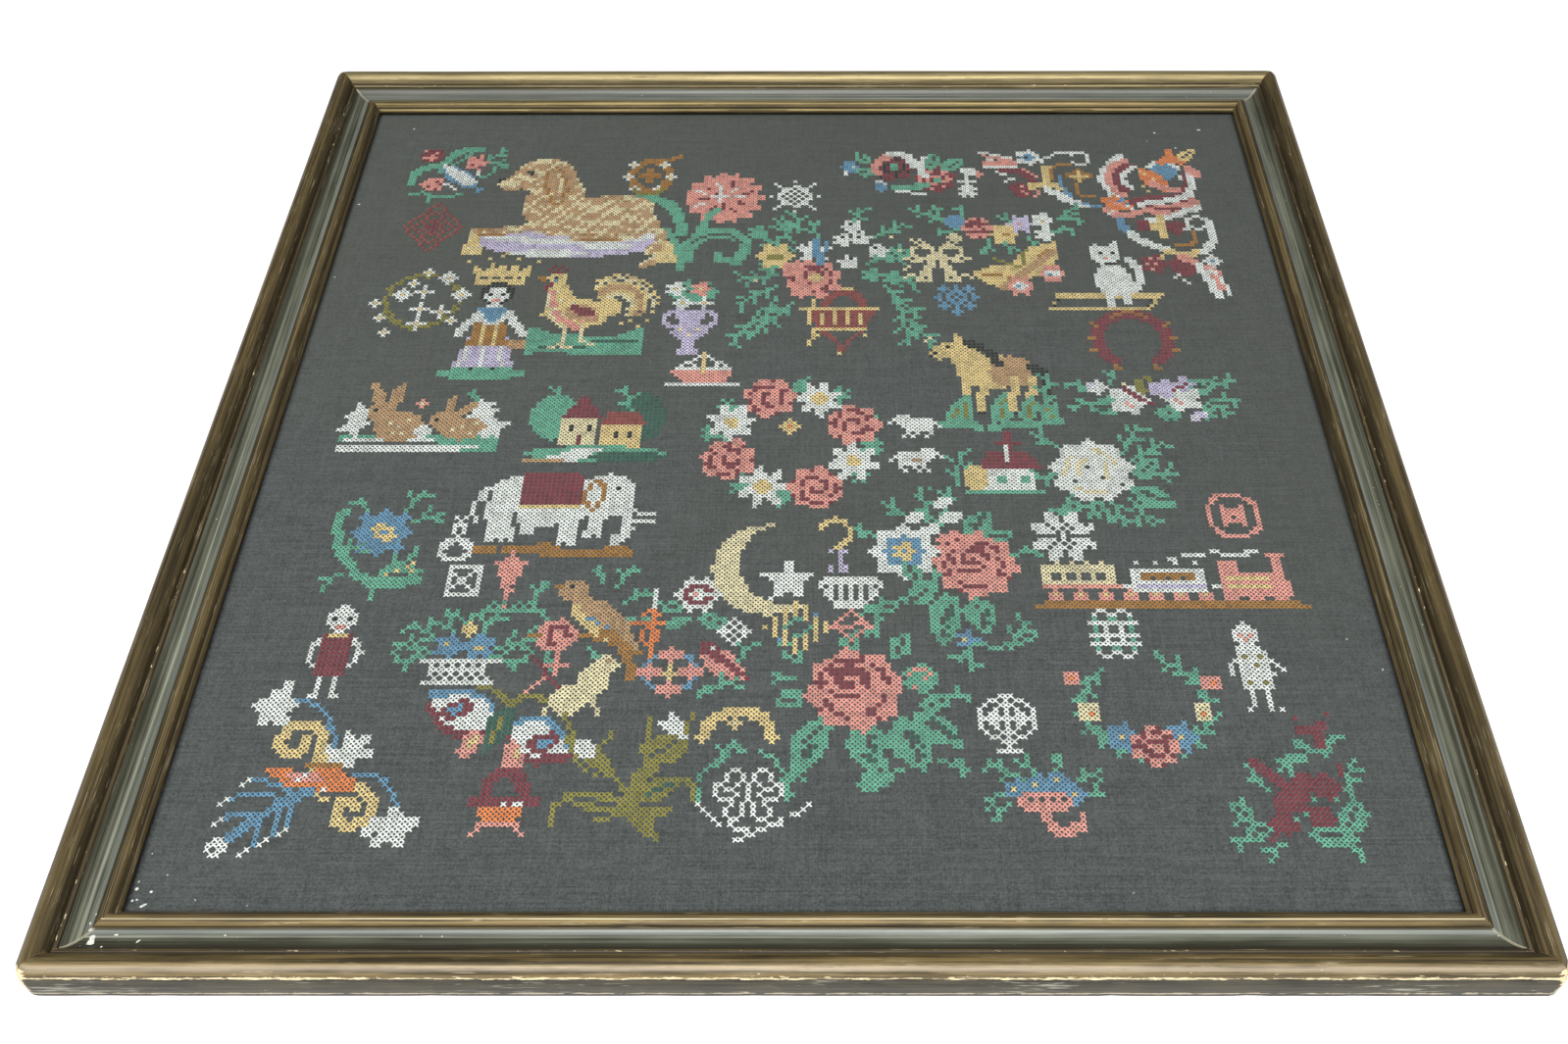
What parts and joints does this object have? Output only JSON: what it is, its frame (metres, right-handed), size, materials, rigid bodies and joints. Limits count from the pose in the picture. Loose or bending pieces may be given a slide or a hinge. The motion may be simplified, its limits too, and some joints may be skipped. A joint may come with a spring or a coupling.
{
  "type": "framed cross stitch sampler with its picture frame",
  "caption": "Square cross stitch sampler on grey cloth, under glass in a mitred gilt and grey-green picture frame, lying face up on its back.",
  "frame": {"origin": "under the middle of the picture, on the surface that the frame's back rests on", "axes": "+Z out of the picture's face, +Y towards the top of the picture, +X to the right of the picture"},
  "size_m": [0.6522, 0.6522, 0.022],
  "materials": {
    "moulding": "worn bronze gilt beads with a grey-green painted cove",
    "picture_glass": "clear and glossy",
    "embroidered_cloth": "plain woven slate grey cloth with cross stitches in many colours",
    "hardboard": "matt brown pressed board"
  },
  "bodies": {
    "root": {"rail_bottom": "moulding", "rail_right": "moulding", "rail_top": "moulding", "rail_left": "moulding", "glass": "picture_glass", "cloth": "embroidered_cloth", "backing_board": "hardboard"}
  },
  "joints": []
}
